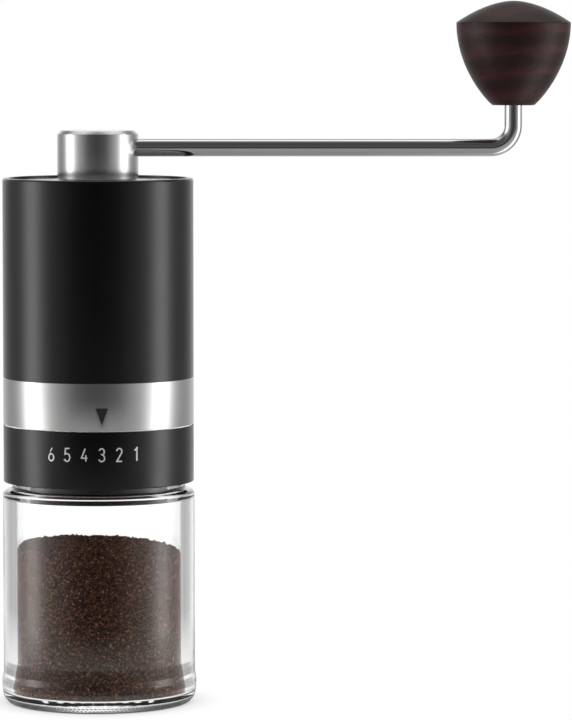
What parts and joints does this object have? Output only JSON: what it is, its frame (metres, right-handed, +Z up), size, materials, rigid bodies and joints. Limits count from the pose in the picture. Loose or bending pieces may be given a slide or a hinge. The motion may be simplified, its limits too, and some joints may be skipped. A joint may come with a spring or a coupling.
{
  "type": "hand crank coffee grinder",
  "caption": "Hand grinder: glass jar, number ring, steel band and black tube, with a conical burr on a shaft driven by a bent crank arm with a wood knob.",
  "frame": {"origin": "centre of the jar's base, on the main axis", "axes": "+Z up along the main axis, +X along the crank arm at rest, the pointer and figures face -Y"},
  "size_m": [0.1612, 0.0552, 0.199],
  "materials": {
    "clear_glass": "clear, polished",
    "black_coat": "satin black coat",
    "ring_coat": "satin black coat with pale figures",
    "brushed_band": "brushed round",
    "hub_steel": "fine turned",
    "arm_steel": "polished",
    "steel": "plain",
    "lid_plate": "gloss",
    "grey_nylon": "moulded",
    "black_nylon": "moulded",
    "white_nylon": "moulded",
    "bush": "sintered",
    "ceramic": null,
    "silicone": "matte",
    "dark_wood": "satin oil"
  },
  "bodies": {
    "housing": {"body_shell": "black_coat", "steel_band": "brushed_band", "chamber_body": "grey_nylon", "bridge": "grey_nylon", "upper_bush": "bush", "bridge_screws": "steel", "outer_burr": "ceramic", "burr_clamp": "grey_nylon", "burr_screws": "steel", "jar_collar": "black_nylon", "collar_screws": "steel", "click_spring": "steel", "glide_ring": "white_nylon"},
    "gasket": {"jar_gasket": "silicone"},
    "jar": {"glass_jar": "clear_glass"},
    "adjust_ring": {"number_ring": "ring_coat"},
    "burr_carrier": {"lower_carrier": "grey_nylon", "cam_pins": "steel", "lower_bush": "bush", "thrust_washer": "white_nylon"},
    "shaft": {"drive_shaft": "steel", "inner_burr": "ceramic", "burr_nut": "steel", "burr_spring": "steel", "shaft_clip": "steel"},
    "lid": {"lid": "lid_plate", "lid_seal": "silicone", "lid_bush": "black_nylon"},
    "crank": {"crank_hub": "hub_steel", "drive_socket": "steel", "socket_clip": "steel", "arm_screw": "steel", "crank_arm": "arm_steel", "knob_clip": "steel"},
    "knob": {"knob": "dark_wood", "knob_bush": "black_nylon"}
  },
  "joints": [
    {"name": "jar_drop", "type": "slide", "parent": "housing", "child": "gasket", "axis": [0, 0, 1], "range_m": [-0.004, 0]},
    {"name": "jar_turn", "type": "hinge", "parent": "gasket", "child": "jar", "pos_m": [0, 0, 0.0656], "axis": [0, 0, 1], "range_deg": [-360, 0]},
    {"name": "ring_turn", "type": "hinge", "parent": "housing", "child": "adjust_ring", "pos_m": [0, 0, 0.0711], "axis": [0, 0, 1], "range_deg": [-20.8, 31.2]},
    {"name": "burr_lift", "type": "slide", "parent": "housing", "child": "burr_carrier", "axis": [0, 0, 1], "range_m": [-0.00048, 0.00032], "deforming": ["burr_spring"]},
    {"name": "shaft_spin", "type": "hinge", "parent": "burr_carrier", "child": "shaft", "pos_m": [0, 0, 0.08], "axis": [0, 0, 1], "continuous": true},
    {"name": "lid_lift", "type": "slide", "parent": "housing", "child": "lid", "axis": [0, 0, 1], "range_m": [0, 0.06]},
    {"name": "crank_turn", "type": "hinge", "parent": "lid", "child": "crank", "pos_m": [0, 0, 0.1484], "axis": [0, 0, 1], "continuous": true},
    {"name": "knob_spin", "type": "hinge", "parent": "crank", "child": "knob", "pos_m": [0.1174, 0, 0.1696], "axis": [0, 0, 1], "continuous": true}
  ],
  "couplings": [
    {"joint": "jar_drop", "follows": "jar_turn", "m_per_rad": 0.00063662},
    {"joint": "burr_lift", "follows": "ring_turn", "m_per_rad": -0.00088147},
    {"joint": "shaft_spin", "follows": "crank_turn", "ratio": 1}
  ]
}
